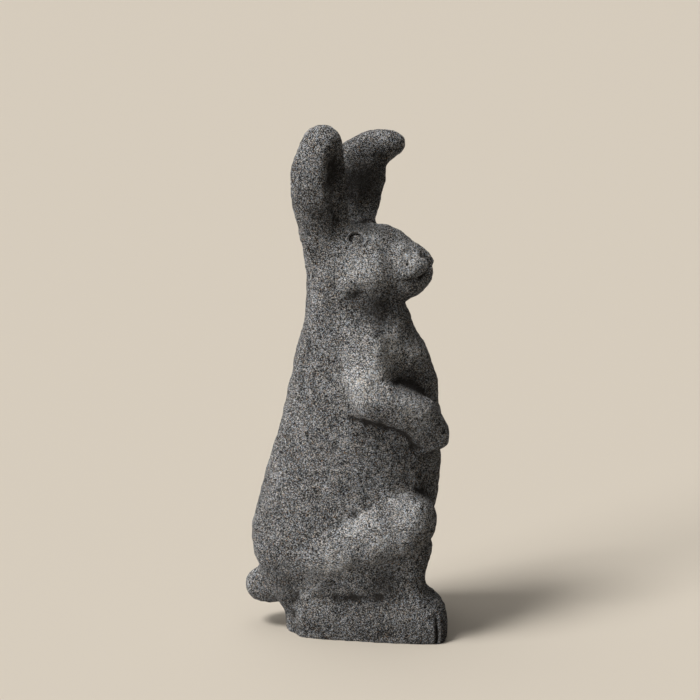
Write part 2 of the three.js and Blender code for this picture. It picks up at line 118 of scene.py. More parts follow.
def loft(rows, rings, around, startRound=0, endRound=0, relief=None):
    # superellipse sections carried along a spine; a row is side, forward, up, half width, over, under,
    # squareness and perhaps the squareness under the spine; relief scales a section by angle and distance
    rows = np.array(rows, float)
    length = lengthOf(rows)
    even = np.linspace(0, 1, rings)
    distance = length * (even + (1 - np.cos(np.pi * even)) / 2) / 2
    values = alongRows(rows, distance)
    spine = lambda at: alongRows(rows, np.clip(at, 0, length))[:, :3] * [1, -1, 1]
    onward = spine(distance + 1) - spine(distance - 1)
    onward /= np.linalg.norm(onward, axis=1)[:, None]
    across = np.array([1.0, 0, 0]) - onward * onward[:, :1]
    across /= np.linalg.norm(across, axis=1)[:, None]
    upward = np.cross(onward, across)
    angle = np.linspace(0, 2 * np.pi, around, endpoint=False)
    power = 2 / np.where(np.sin(angle) < 0, values[:, -1:], values[:, 6:7])
    wave = lambda value: np.sign(value) * np.abs(value) ** power
    out = wave(np.cos(angle)[None, :]) * values[:, 3:4]
    lift = wave(np.sin(angle)[None, :]) * np.where(np.sin(angle) > 0, values[:, 4:5], values[:, 5:6])
    size = (closing(distance, startRound) * closing(length - distance, endRound))[:, None]
    if relief:
        size = size * relief(angle[None, :], distance[:, None])
    grid = spine(distance)[:, None, :] + across[:, None, :] * (out * size)[..., None]
    grid = (grid + upward[:, None, :] * (lift * size)[..., None]) * [1, -1, 1]
    return grid


def ball(centre, sizes, rings=48, around=64, poleGap=0.02):
    # a ball of the given width, length and height, whose first and last rings lie a little off the poles
    tilts = np.linspace(poleGap, np.pi - poleGap, rings)
    turns = np.linspace(0, 2 * np.pi, around, endpoint=False)
    tilt, turn = np.meshgrid(tilts, turns, indexing="ij")
    unit = np.stack([np.sin(tilt) * np.cos(turn), np.sin(tilt) * np.sin(turn), -np.cos(tilt)], axis=-1)
    return np.array(centre) + unit * np.array(sizes) / 2


def closedFaces(rings, around, first):
    # quads round a grid of rings, with one face over each end
    ring, turn = np.meshgrid(np.arange(rings - 1), np.arange(around), indexing="ij")
    after = (turn + 1) % around
    here, onward = ring * around, (ring + 1) * around
    quads = np.stack([here + turn, here + after, onward + after, onward + turn], axis=-1)
    last = first + (rings - 1) * around
    ends = [list(range(first, first + around))[::-1], list(range(last, last + around))]
    return (quads.reshape(-1, 4) + first).tolist() + ends


# Trunk and neck: up, back, front, half, squareness, from the floor to the poll.
trunk = {
    "stations": [
        [0, 48, 55, 29, 4.6], [14, 49.5, 55, 32, 4], [34, 62, 54, 35.5, 3.1], [72, 74, 58, 42, 2.5],
        [100, 69.5, 69, 43.5, 2.2], [130, 61, 72, 41.5, 2.2], [165, 51, 71.5, 38, 2.1],
        [200, 43.5, 69, 34.5, 2], [220, 39.5, 62, 32.5, 2.4], [238, 34.5, 51.5, 31, 2.8],
        [254, 32, 46, 30, 2.7], [276, 31, 32, 30, 2.4], [302, 33, 20, 30, 2.4], [320, 36, 16, 28, 2.4],
    ],
    # sections along it and points round each, as in the other lofts
    "grid": [220, 160],
    "pollRound": 15,
    # each muscle: up, swell, turned forward of square, spread round, spread up
    "muscles": [[220, 0.05, 12, 40, 30], [72, 0.04, 32, 38, 34]],
}


def trunkForm():
    def swelling(angle, up):
        scale = 1
        for level, swell, turn, around, tall in trunk["muscles"]:
            middle = math.radians(turn)
            nearer = np.minimum(abs(turnBetween(angle, -middle)), abs(turnBetween(angle, math.pi + middle)))
            scale = scale + swell * bell(nearer / math.radians(around)) * bell((up - level) / tall)
        return scale

    rows = [[0, 0, up, half, back, front, square] for up, back, front, half, square in trunk["stations"]]
    return loft(rows, *trunk["grid"], 0, trunk["pollRound"], swelling)


# Head: forward, up, over, under, half, squareness over and under the jaw line, from the nape to the nose.
head = {
    "stations": [
        [-27, 284, 20, 14, 18, 2, 2], [-20, 284, 29, 22, 25, 2, 2], [-7, 284, 34.5, 26, 31, 2.1, 1.8],
        [7, 283, 36.5, 25, 33.5, 2.1, 1.55], [22, 282, 37.2, 25, 33.5, 1.95, 1.5],
        [36, 282.5, 34.8, 23.5, 29, 1.75, 1.5], [48, 283.5, 28, 20.5, 24.5, 1.75, 1.6],
        [57, 285, 18.8, 15.8, 20, 1.8, 1.8], [66, 285.5, 13, 11.5, 14, 2, 2],
    ],
    "grid": [120, 140],
    "napeRound": 10,
    "noseRound": 11,
    "nosePad": {"centre": [0, 59.5, 289.5], "sizes": [17, 13, 14]},
}


def headForms():
    rows = [
        [0, forward, up, half, over, under, square, keel]
        for forward, up, over, under, half, square, keel in head["stations"]
    ]
    pad = head["nosePad"]
    skull = loft(rows, *head["grid"], head["napeRound"], head["noseRound"])
    return [skull, ball(pad["centre"], pad["sizes"])]


# Ears: forward, up, reach, half, from the root to the tip. The hollow opens forward and outward.
ears = {
    "right": [
        [-10, 278, 12, 9], [-14.5, 302, 17, 10.5], [-16.7, 322, 20, 12.5], [-18.6, 342, 22.7, 15.5],
        [-19.9, 364, 21.9, 17], [-17.6, 386, 17.6, 14.5], [-14.2, 400, 18, 13],
    ],
    "left": [
        [0, 278, 12, 9], [2, 302, 18, 10.5], [3.5, 322, 21, 12.5], [6.6, 342, 22.7, 15.5],
        [11.3, 360, 22.5, 17], [20.2, 371.5, 16, 15.5], [33, 376.5, 11.5, 13], [44.7, 377, 11, 11],
    ],
    "grid": [120, 96],
    "side": 14,
    "lean": 6,
    "tipRound": {"right": 22, "left": 18},
    "hollow": {"depth": 0.56, "turn": 32, "spread": 42, "from": 0.2, "to": 0.96, "fade": 24},
}


def earForm(name, side):
    lean = math.tan(math.radians(ears["lean"]))
    root = ears[name][0][1]
    rows = np.array([
        [side * (ears["side"] + lean * (up - root)), forward, up, half, reach, reach, 2]
        for forward, up, reach, half in ears[name]
    ], float)
    hollow = ears["hollow"]
    turn = math.radians(hollow["turn"])
    opening = math.atan2(-math.cos(turn), side * math.sin(turn))
    start, stop = hollow["from"] * lengthOf(rows), hollow["to"] * lengthOf(rows)

    def dish(angle, distance):
        opened = smoothStep(distance, start, start + hollow["fade"])
        along = opened * (1 - smoothStep(distance, stop - hollow["fade"], stop))
        across = np.exp(-(turnBetween(angle, opening) / math.radians(hollow["spread"])) ** 4)
        return 1 - hollow["depth"] * along * across

    return loft(rows, *ears["grid"], 0, ears["tipRound"][name], dish)


# Limbs: side, forward, up, half, reach, and how far each end is rounded.
limbs = {
    "upperArm": {
        "rounds": [36, 12],
        "stations": [
            [14, -4, 266, 13, 16], [24, 8.5, 240, 16, 17.5], [30.5, 14, 215, 17.5, 17],
            [34.5, 16, 190, 17.5, 16],
        ],
    },
    "forearm": {
        "rounds": [13, 11],
        "stations": [
            [33, 3, 192.5, 17, 13.5], [36, 30, 190, 15, 17], [30, 51.5, 180, 13.5, 15.5],
            [23.5, 62.5, 165, 12.5, 14], [18.5, 70.5, 149.5, 11.5, 12.5],
        ],
    },
    "thigh": {
        "rounds": [30, 24],
        "stations": [
            [26, -44, 57, 14, 14], [31, -20, 69.5, 18, 18.5], [33, 6, 80.5, 19.5, 21], [33, 32, 91, 20.5, 25],
            [31, 52, 94, 20, 25], [28.5, 69, 92.5, 18, 24],
        ],
    },
    "shank": {
        "rounds": [18, 10],
        "stations": [
            [22, 26, 96, 16, 28], [25, 31, 76, 16.5, 34], [26, 29, 56, 17, 32], [26, 28, 30, 17, 32],
        ],
    },
    "grid": [110, 96],
    "square": 2.7,
    "leftPawBack": 6,
}


def limbForm(name, side, back=0):
    stations = limbs[name]["stations"]
    rows = [
        [side * out, forward - back * i / (len(stations) - 1), up, half, reach, reach, limbs["square"]]
        for i, (out, forward, up, half, reach) in enumerate(stations)
    ]
    return loft(rows, *limbs["grid"], *limbs[name]["rounds"])


# Hind feet: side, forward, half, top, squareness, from the heel to the toes.
feet = {
    "stations": [
        [17, -40, 15.5, 35, 4], [19.5, -20, 18.5, 37, 3.4], [23.5, 12, 20, 40.5, 3],
        [26.5, 43, 21.5, 47.5, 2.6], [27.5, 55, 21.5, 44.5, 2.5], [28, 66, 21.5, 35, 2.5],
        [28, 78, 21, 28.5, 2.5],
    ],
    "grid": [110, 110],
    "edgeUp": 4,
    "under": 10,
    "rounds": [6, 9],
    "leftBack": 13,
}


def footForm(side, back):
    stations, up = feet["stations"], feet["edgeUp"]
    rows = [
        [side * out, forward - back * i / (len(stations) - 1), up, half, top - up, up + feet["under"], square]
        for i, (out, forward, half, top, square) in enumerate(stations)
    ]
    return loft(rows, *feet["grid"], *feet["rounds"])


tail = {"centre": [0, -59.9, 32], "sizes": [32, 40, 30]}

# The skin over all the forms, and how it is worn soft.
skin = {
    "voxel": 1.66,
    "filletRounds": 9,
    "meltRounds": 40,
    "softRounds": 2,
    "fineRounds": 4,
    "hollowRounds": [60, 22],
    # in each round a hollow moves out by the first share of the way to its neighbours' mean,
    # and evens by the second
    "filling": [0.9, 0.08],
    # the share of the way to its neighbours' mean that a point moves in each round of softening
    "softening": 0.5,
    # between these heights the filling drops by this share, so that the ears keep sharp roots
    "earRoots": [292, 312, 0.75],
    "sawnBelow": 0.4,
    "boxMargin": 1.5,
    # where limbs melt into the trunk, on both sides: side, forward, up, reach, share of the filling
    "melting": [
        [38, -6, 226, 28, 3],  # behind the shoulder
        [34, -38, 70, 22, 2.2],  # rear of the thigh
        [34, 32, 236, 20, 4],  # front of the shoulder
        [30, 40, 222, 14, 3],  # chest beside the arm
        [46, 24, 206, 10, 2],  # bend of the arm
        [44, -18, 56, 13, 3],  # rump over the heel
        [46, 6, 58, 13, 3],  # under the thigh
        [45, 28, 65, 13, 3],  # under the thigh, farther forward
        [42, 46, 74, 11, 3],  # under the knee
        [24, 0, 306, 12, 2.5],  # root of the ear
        [45, 4, 101, 13, 2],  # top of the thigh
        [18, 1, 320, 10, 2],  # crown in front of the ear
        [38, 1, 183, 11, 3],  # behind the elbow
    ],
}


def joinedForms():
    forms = [trunkForm(), *headForms(), earForm("right", -1), earForm("left", 1)]
    forms.append(ball(tail["centre"], tail["sizes"]))
    for side, pawBack, footBack in [(-1, 0, 0), (1, limbs["leftPawBack"], feet["leftBack"])]:
        forms += [limbForm("upperArm", side), limbForm("forearm", side, pawBack), limbForm("thigh", side)]
        forms += [limbForm("shank", side), footForm(side, footBack)]
    points, faces = [], []
    for grid in forms:
        faces += closedFaces(grid.shape[0], grid.shape[1], sum(len(p) for p in points))
        points.append(grid.reshape(-1, 3))
    points = np.concatenate(points)
    points[:, 2] = np.maximum(points[:, 2], 0)     # sawn flat on the floor
    return place(points), faces


def skinOver(points, faces):
    # one closed skin over all the overlapping forms
    rough = bpy.data.meshes.new("forms")
    rough.from_pydata(points.tolist(), [], faces)
    holder = bpy.data.objects.new("forms", rough)
    bpy.context.scene.collection.objects.link(holder)
    remesh = holder.modifiers.new("skin", "REMESH")
    remesh.mode = "VOXEL"
    remesh.voxel_size = skin["voxel"] * mm
    remesh.adaptivity = 0
    settled = holder.evaluated_get(bpy.context.evaluated_depsgraph_get())
    mesh = bpy.data.meshes.new_from_object(settled)
    bpy.data.objects.remove(holder)
    bpy.data.meshes.remove(rough)
    return mesh


def pointsOf(mesh):
    points = np.empty(len(mesh.vertices) * 3)
    mesh.vertices.foreach_get("co", points)
    return points.reshape(-1, 3)


def setPoints(mesh, points):
    mesh.vertices.foreach_set("co", points.ravel())
    mesh.update()


def normalsOf(mesh, points):
    # the normals that the mesh has once its points are moved to these places
    setPoints(mesh, points)
    normals = np.empty(len(mesh.vertices) * 3)
    mesh.vertices.foreach_get("normal", normals)
    return normals.reshape(-1, 3)


def neighbourMean(mesh):
    # a function that averages each point's neighbours along the mesh's edges
    ends = np.empty(len(mesh.edges) * 2, np.int64)
    mesh.edges.foreach_get("vertices", ends)
    first, second = ends.reshape(-1, 2).T
    here, there = np.concatenate([first, second]), np.concatenate([second, first])
    count = np.bincount(here, minlength=len(mesh.vertices))

    def mean(values):
        sums = [np.bincount(here, weights=column[there], minlength=len(column)) for column in values.T]
        return np.stack([total / count for total in sums], axis=-1)

    return mean


def soften(mesh, points, rounds, weight):
    mean = neighbourMean(mesh)
    for _ in range(rounds):
        points = points + weight[:, None] * skin["softening"] * (mean(points) - points)
    return points


def fillCreases(mesh, points, rounds, weight):
    # only what is hollow moves out, so creases fill to a fillet and ridges stay
    mean = neighbourMean(mesh)
    outShare, evenShare = skin["filling"]
    for _ in range(rounds):
        normals = normalsOf(mesh, points)
        pull = mean(points) - points
        outward = np.maximum((pull * normals).sum(axis=1), 0)
        points = points + (weight * outward * outShare)[:, None] * normals
        points = points + evenShare * weight[:, None] * (mean(points) - points)
    return points


def spotted(spots, marks):
    # the highest share that any mark, mirrored to both sides, gives each point
    most = np.zeros(len(spots))
    for side, forward, up, reach, share in marks:
        for way in (-1, 1):
            off = np.linalg.norm(spots - np.array([side * way, forward, up]), axis=1)
            most = np.maximum(most, share * bell(off / reach))
    return most


def refine(mesh, inside):
    # every edge between two chosen points is halved
    ends = np.empty(len(mesh.edges) * 2, np.int64)
    mesh.edges.foreach_get("vertices", ends)
    chosen = np.flatnonzero(inside[ends].reshape(-1, 2).all(axis=1))
    fine = bmesh.new()
    fine.from_mesh(mesh)
    fine.edges.ensure_lookup_table()
    bmesh.ops.subdivide_edges(fine, edges=[fine.edges[i] for i in chosen], cuts=1, use_grid_fill=True)
    fine.to_mesh(mesh)
    fine.free()


def near(spots, centre, reach):
    return np.linalg.norm(spots - np.array(centre), axis=1) < reach


# The face. Lines are given on the right side as forward and up; the left side mirrors them.
face = {
    # "dish", "ballSize" and what stands at or across the lid and slot are shares of the eye's size:
    # 1 is its edge
    "eye": {
        "centre": [7.4, 313.4], "long": 5.4, "tall": 4.2, "tilt": 20,
        "sunk": 1.0, "dish": [0.95, 1.75],
        "ball": 1.4, "ballSize": 0.95,
        "lid": 1.4, "lidAt": 1.4, "lidWidth": 0.26,
        "slot": 2.6, "slotAt": 1.02, "slotWidth": 0.17, "slotLean": 0.4, "slotOver": [-0.5, 2],
        "outFrom": 18, "facing": 9, "reach": 14,
    },
    "inHead": {"up": [262, 268], "forward": [-12, 4]},
    "mouth": {
        "line": [
            [-5, 269], [1.4, 275], [13, 279], [28, 281.6], [41, 281.4], [50, 281.6], [56.5, 282.6],
            [61, 285.5], [66, 290],
        ],
        "depth": 3.0, "width": 1.8, "faint": 0.25,
        "starts": [0.05, 0.25], "deepens": [0.4, 0.62], "out": [3, 8],
        "recess": 1.5, "lip": [-1, 3], "chin": [6, 12],
    },
    "nostril": {
        "line": [[57, 299], [59.5, 297.8], [61.5, 296.2], [63.5, 293.8], [65.5, 290]],
        "depth": 3.4, "width": 2.0, "lean": -0.6, "onTop": [-0.1, 0.3], "out": [2.2, 4.5],
    },
    "tuft": {"centre": [-31, -3, 281], "reach": 5, "push": 1.4},
}


def toLine(line, forward, up):
    # distance from each point to a line of forward and up, and how far along the line its nearest part lies
    line = np.array(line, float)
    start, way = line[:-1], np.diff(line, axis=0)
    offset = np.stack([forward, up], axis=-1)[:, None, :] - start
    share = np.clip((offset * way).sum(axis=-1) / (way**2).sum(axis=-1), 0, 1)
    distance = np.linalg.norm(offset - share[..., None] * way, axis=-1)
    nearest = distance.argmin(axis=1)
    rows = np.arange(len(distance))
    return distance[rows, nearest], (nearest + share[rows, nearest]) / len(way)


def eyePush(spots, normals, side):
    # a ball set in a sunken dish between two lids, with a slot under the upper one
    eye = face["eye"]
    flat = np.hypot(spots[:, 1] - eye["centre"][0], spots[:, 2] - eye["centre"][1])
    seat = np.argmin(np.where(spots[:, 0] * side > eye["outFrom"], flat, np.inf))
    around = near(spots, spots[seat], eye["facing"])
    outward = normals[around].mean(axis=0)
    outward /= np.linalg.norm(outward)
    onward = np.array([0, -1.0, 0]) - outward * -outward[1]
    onward /= np.linalg.norm(onward)
    upward = np.cross(outward, onward) * -side
    offset = (spots - spots[seat]) * [1, -1, 1]
    tilt = math.radians(eye["tilt"])
    ahead, above = offset @ onward, offset @ upward
    turned = ahead * math.cos(tilt) + above * math.sin(tilt)
    ahead, above = turned, above * math.cos(tilt) - ahead * math.sin(tilt)
    size = np.hypot(ahead / eye["long"], above / eye["tall"])
    push = -eye["sunk"] * (1 - smoothStep(size, *eye["dish"]))
    push += eye["ball"] * np.sqrt(np.clip(1 - (size / eye["ballSize"]) ** 2, 0, 1))
    push += eye["lid"] * bell((size - eye["lidAt"]) / eye["lidWidth"])
    overSlot = smoothStep(above - eye["slotLean"] * ahead, *eye["slotOver"])
    push -= eye["slot"] * bell((size - eye["slotAt"]) / eye["slotWidth"]) * overSlot
    return np.where(near(spots, spots[seat], eye["reach"]), push, 0)


def facePush(spots, normals):
    side, forward, up = spots.T
    mouth, nostril, tuft = face["mouth"], face["nostril"], face["tuft"]
    push = eyePush(spots, normals, -1) + eyePush(spots, normals, 1)
    inHead = smoothStep(up, *face["inHead"]["up"]) * smoothStep(forward, *face["inHead"]["forward"])
    distance, along = toLine(mouth["line"], forward, up)
    line = np.array(mouth["line"], float)
    below = np.interp(forward, line[:, 0], line[:, 1]) - up
    faint, rest = mouth["faint"], 1 - mouth["faint"]
    strength = (faint + rest * smoothStep(along, *mouth["deepens"])) * smoothStep(along, *mouth["starts"])
    strength = strength * (faint + rest * smoothStep(abs(side), *mouth["out"]))
    push -= mouth["depth"] * bell(distance / mouth["width"]) * inHead * strength
    recess = mouth["recess"] * smoothStep(below, *mouth["lip"]) * (1 - smoothStep(below, *mouth["chin"]))
    push -= recess * inHead
    distance, along = toLine(nostril["line"], forward, up)
    onTop = smoothStep(normals[:, 2] + normals[:, 1] * nostril["lean"], *nostril["onTop"])
    outer = smoothStep(abs(side), *nostril["out"])
    push -= nostril["depth"] * bell(distance / nostril["width"]) * onTop * outer
    for way in (-1, 1):
        centre = np.array(tuft["centre"]) * [-way, 1, 1]
        push += tuft["push"] * bell(np.linalg.norm(spots - centre, axis=1) / tuft["reach"])
    return push


# Toes: grooves at bearings outward from straight ahead, seen from a place behind the tips, below a height.
toes = {
    "side": 28, "forward": 60, "bearings": [66, 26, -16], "width": 1.4, "depth": 2.6,
    "top": 26, "topFade": 5, "from": [9, 13], "to": 34,
}


def toePush(spots):
    push = np.zeros(len(spots))
    for way, back in ((-1, 0), (1, feet["leftBack"])):
        out, ahead = (spots[:, 0] - way * toes["side"]) * way, spots[:, 1] - (toes["forward"] - back)
        bearing, reach = np.arctan2(out, ahead), np.hypot(out, ahead)
        low = 1 - smoothStep(spots[:, 2], toes["top"] - toes["topFade"], toes["top"])
        outer = smoothStep(reach, *toes["from"]) * (reach < toes["to"]) * (spots[:, 0] * way > 0)
        for middle in toes["bearings"]:
            off = turnBetween(bearing, math.radians(middle)) * reach
            push -= toes["depth"] * bell(off / toes["width"]) * low * outer
    return push


# Folds of the chest's fur: forward, up from, up to, width, height of the ridge.
chestFolds = [[37, 216, 244, 5.5, 1.3], [47.5, 214, 233, 4, 1.4], [57, 213, 231, 4, 1.2]]
foldFades = [5, 6]

# Creases on the flanks: points as forward and up, depth, width, and how far out from the middle they start.
# In order: under the forearm, over it, the thigh's top, behind the jaw, behind the foot, over the foot.
creases = [
    {"line": [[-3, 179.5], [12, 176.5], [27, 174], [42, 168]], "depth": 1.7, "width": 4.4, "from": 26},
    {"line": [[33, 212], [42, 202.5], [54, 195.5], [64, 188]], "depth": 2.2, "width": 4.5, "from": 14},
    {"line": [[-24, 90], [-8, 97], [8, 105], [22, 115]], "depth": 0.8, "width": 3.4, "from": 30},
    {"line": [[-13, 268], [-10, 280], [-7, 292]], "depth": 1.4, "width": 4, "from": 16},
    {"line": [[-43, 6], [-43, 24], [-36, 42]], "depth": 2.0, "width": 4.5, "from": 10},
    {"line": [[-26, 30], [-6, 31], [16, 36], [30, 42]], "depth": 2.0, "width": 7, "from": 26},
]
# the shares of its length over which a crease starts and ends, and the distance over which it starts outward
creaseFades = {"start": [-0.05, 0.3], "end": [0.7, 1.05], "out": 8}

# Bosses on the flanks: side, forward, up, reach, push. The left side mirrors the right.
bosses = [
    [-24, 50, 293, 8, 1.8],  # whisker pad
    [-30, 34, 289, 8, -1.2],  # hollow behind the muzzle
    [-31, 3, 275, 6, 1.2],  # corner of the jaw
    [-34, 30, 233, 14, 2.4],  # front of the shoulder
    [-52, 18, 196, 12, 1.2],  # elbow
    [-15, 2, 320, 9, 2.4],  # crown in front of the ear
]


def bodyPush(spots):
    push = np.zeros(len(spots))
    foot, top = foldFades
    for forward, low, high, width, ridge in chestFolds:
        tall = smoothStep(spots[:, 2], low - foot, low + foot)
        tall = tall * (1 - smoothStep(spots[:, 2], high - top, high + top))
        push += ridge * bell((spots[:, 1] - forward) / width) * tall
    for crease in creases:
        distance, along = toLine(crease["line"], spots[:, 1], spots[:, 2])
        faded = smoothStep(along, *creaseFades["start"]) * (1 - smoothStep(along, *creaseFades["end"]))
        outer = smoothStep(abs(spots[:, 0]), crease["from"], crease["from"] + creaseFades["out"])
        push -= crease["depth"] * bell(distance / crease["width"]) * faded * outer
    for side, forward, up, reach, height in bosses:
        for way in (-1, 1):
            off = np.linalg.norm(spots - np.array([side * way, forward, up]), axis=1)
            push += height * bell(off / reach)
    return push


# Air holes left in the casting: side, forward, up, radius, depth.
airHoles = [
    [-21, 45, 292.8, 1.1, 2.2], [-18, 48.4, 296.7, 0.8, 1.4], [-12, 51.1, 301.5, 0.8, 1.4],
    [-20, 47.3, 284.9, 0.8, 1.4], [-26, -37.6, 370.4, 1.5, 2.6], [-32, -31.6, 370.8, 0.9, 1.6],
    [-46, 27, 211.1, 1.2, 2.2], [-49, 61.2, 30.1, 1.0, 1.6], [31, 40, 286, 1.0, 1.8],
    [-20, -52, 180, 1.3, 2.2], [34, -30, 250, 1.2, 2.0], [30, -55, 110, 1.2, 2.0],
]


def nearHoles(spots, reach):
    # which points lie near the place on the skin where each hole opens
    close = np.zeros(len(spots), bool)
    for hole in airHoles:
        seat = spots[np.linalg.norm(spots - np.array(hole[:3]), axis=1).argmin()]
        close |= near(spots, seat, reach)
    return close


def holePush(spots):
    push = np.zeros(len(spots))
    for side, forward, up, radius, depth in airHoles:
        seat = spots[np.linalg.norm(spots - np.array([side, forward, up]), axis=1).argmin()]
        push -= depth * bell((np.linalg.norm(spots - seat, axis=1) / radius) ** 2)
    return push


# The casting's unevenness: wavelength and height of each size of lump, how many waves make it, their spread.
lumps = {"sizes": [[70, 0.22], [28, 0.25], [12, 0.2], [5.5, 0.14]], "waves": 28, "spread": [0.7, 1.4]}


def ripples(spots, wavelength, seed):
    # a sum of sine waves of about one length in random directions, about one high
    random, count = np.random.default_rng(seed), lumps["waves"]
    ways = random.normal(size=(count, 3))
    ways *= (random.uniform(*lumps["spread"], count) / np.linalg.norm(ways, axis=1))[:, None]
    phases = random.uniform(0, 2 * np.pi, count)
    return np.sin(spots @ ways.T * (2 * np.pi / wavelength) + phases).sum(axis=1) / math.sqrt(count / 2)


def lumpPush(spots):
    push = np.zeros(len(spots))
    for seed, (wavelength, tall) in enumerate(lumps["sizes"]):
        push += tall * ripples(spots, wavelength, seed)
    return push


# Heights over the sawn base through which a push may also move a point up or down, and may move it at all.
baseFades = {"upward": [0.2, 3], "any": [-0.1, 0.6]}


def pushOut(mesh, push):
    # moves each point along its normal by millimetres, and keeps the sawn base flat on the floor
    points = pointsOf(mesh)
    normals = normalsOf(mesh, points)
    lift = smoothStep(points[:, 2] / mm, *baseFades["upward"])
    sideways = np.stack([np.ones(len(points)), np.ones(len(points)), lift], axis=-1)
    push = push * smoothStep(points[:, 2] / mm, *baseFades["any"])
    points = points + normals * sideways * push[:, None] * mm
    points[:, 2] = np.maximum(points[:, 2], 0)
    setPoints(mesh, points)


def keepInside(mesh, box, margin):
    # what would stand out of the box is bent smoothly back inside it, within a margin in millimetres
    points = pointsOf(mesh)
    margin = margin * mm
    farBelow = -1.0      # in place of the box's own bottom, so that the sawn base stays on the floor
    low = np.array([*box[0][:2], farBelow])
    for limit, way in ((np.array(box[1]), 1), (low, -1)):
        over = np.maximum((points - limit) * way + margin, 0)
        points = points - way * (over - margin * (1 - np.exp(-over / margin)))
    setPoints(mesh, points)


# Where the mesh is made finer: twice round the eyes and the holes, once at the muzzle and the toes' ends.
finer = {
    "eyeSide": 31, "eyeReach": [15, 12], "holeReach": [5, 3],
    "muzzle": {"from": 26, "low": 270, "high": 306},
    "toes": {"from": 50, "below": 30},
    # where the finer mesh is evened, above a height
    "evenEye": 16, "evenHole": 5, "evenAbove": 1,
}


def nearEyes(spots, reach):
    rightEye, leftEye = [[side, *face["eye"]["centre"]] for side in (-finer["eyeSide"], finer["eyeSide"])]
    return near(spots, rightEye, reach) | near(spots, leftEye, reach)


points, faces = joinedForms()
mesh = skinOver(points, faces)
print("skin:", len(mesh.vertices), "points,", len(mesh.polygons), "faces")

points = pointsOf(mesh)
spots = unplace(points)
low, high, less = skin["earRoots"]
filling = 1 - less * smoothStep(spots[:, 2], low, high)
points = fillCreases(mesh, points, skin["filletRounds"], filling)
points = fillCreases(mesh, points, skin["meltRounds"], np.minimum(spotted(spots, skin["melting"]), 1))
points = soften(mesh, points, skin["softRounds"], np.ones(len(points)))
points[:, 2] = np.where(points[:, 2] < skin["sawnBelow"] * mm, 0, points[:, 2])
setPoints(mesh, points)
print("creases filled")

spots = unplace(pointsOf(mesh))
muzzle, toeEnds = finer["muzzle"], finer["toes"]
inMuzzle = (spots[:, 1] > muzzle["from"]) & (spots[:, 2] > muzzle["low"]) & (spots[:, 2] < muzzle["high"])
inToes = (spots[:, 1] > toeEnds["from"]) & (spots[:, 2] < toeEnds["below"])
eyeReach, holeReach = finer["eyeReach"], finer["holeReach"]
refine(mesh, nearEyes(spots, eyeReach[0]) | inMuzzle | inToes | nearHoles(spots, holeReach[0]))
spots = unplace(pointsOf(mesh))
refine(mesh, nearEyes(spots, eyeReach[1]) | nearHoles(spots, holeReach[1]))
points = pointsOf(mesh)
spots = unplace(points)
evened = nearEyes(spots, finer["evenEye"]) | nearHoles(spots, finer["evenHole"])
points = soften(mesh, points, skin["fineRounds"], evened.astype(float) * (spots[:, 2] > finer["evenAbove"]))
setPoints(mesh, points)
print("refined:", len(mesh.vertices), "points,", len(mesh.polygons), "faces")
pushOut(mesh, bodyPush(spots) + lumpPush(spots))
spots = unplace(pointsOf(mesh))
normals = normalsOf(mesh, pointsOf(mesh))
pushOut(mesh, facePush(spots, normals) + toePush(spots) + holePush(spots))
keepInside(mesh, cadBox, skin["boxMargin"])
mesh.shade_smooth()
mesh.update()
rabbit = bpy.data.objects.new("castStoneRabbit", mesh)
bpy.context.scene.collection.objects.link(rabbit)
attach(rabbit, "root")
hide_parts("cast_body")
print("rabbit:", sum(len(p.vertices) - 2 for p in mesh.polygons), "triangles")


# Materials.
class Wire:
    # a socket that takes part in sums: each operator adds its Math node

    def __init__(self, recipe, socket):
        self.recipe, self.socket = recipe, socket

    def __add__(self, other):
        return self.recipe.maths("ADD", self, other)

    def __sub__(self, other):
        return self.recipe.maths("SUBTRACT", self, other)

    def __rsub__(self, other):
        return self.recipe.maths("SUBTRACT", other, self)

    def __mul__(self, other):
        return self.recipe.maths("MULTIPLY", self, other)

    __radd__, __rmul__ = __add__, __mul__


class Recipe:
    # one material and its nodes

    def __init__(self, name):
        self.material = bpy.data.materials.new(name)
        self.material.use_nodes = True
        self.tree = self.material.node_tree
        self.tree.nodes.clear()

    def make(self, kind, settings, inputs, output=0):
        node = self.tree.nodes.new(kind)
        for name, value in settings.items():
            setattr(node, name, value)
        for name, value in inputs.items():
            if isinstance(value, Wire):
                self.tree.links.new(value.socket, node.inputs[name])
            else:
                node.inputs[name].default_value = value
        return Wire(self, node.outputs[output])

    def maths(self, operation, first, second):
        return self.make("ShaderNodeMath", {"operation": operation}, {0: first, 1: second})

    def ease(self, value, low, high):
        settings = {"interpolation_type": "SMOOTHSTEP"}
        return self.make("ShaderNodeMapRange", settings, {"Value": value, "From Min": low, "From Max": high})

    def blend(self, share, first, second, way="MIX"):
        settings = {"data_type": "RGBA", "blend_type": way}
        return self.make("ShaderNodeMix", settings, {"Factor": share, "A": first, "B": second}, 2)

    def noise(self, where, wavelength, detail, roughness):
        inputs = {"Vector": where, "Scale": 1 / (wavelength * mm), "Detail": detail, "Roughness": roughness}
        return self.make("ShaderNodeTexNoise", {}, inputs)

    def finish(self, surface):
        output = self.tree.nodes.new("ShaderNodeOutputMaterial")
        self.tree.links.new(surface.socket, output.inputs["Surface"])
        return self.material


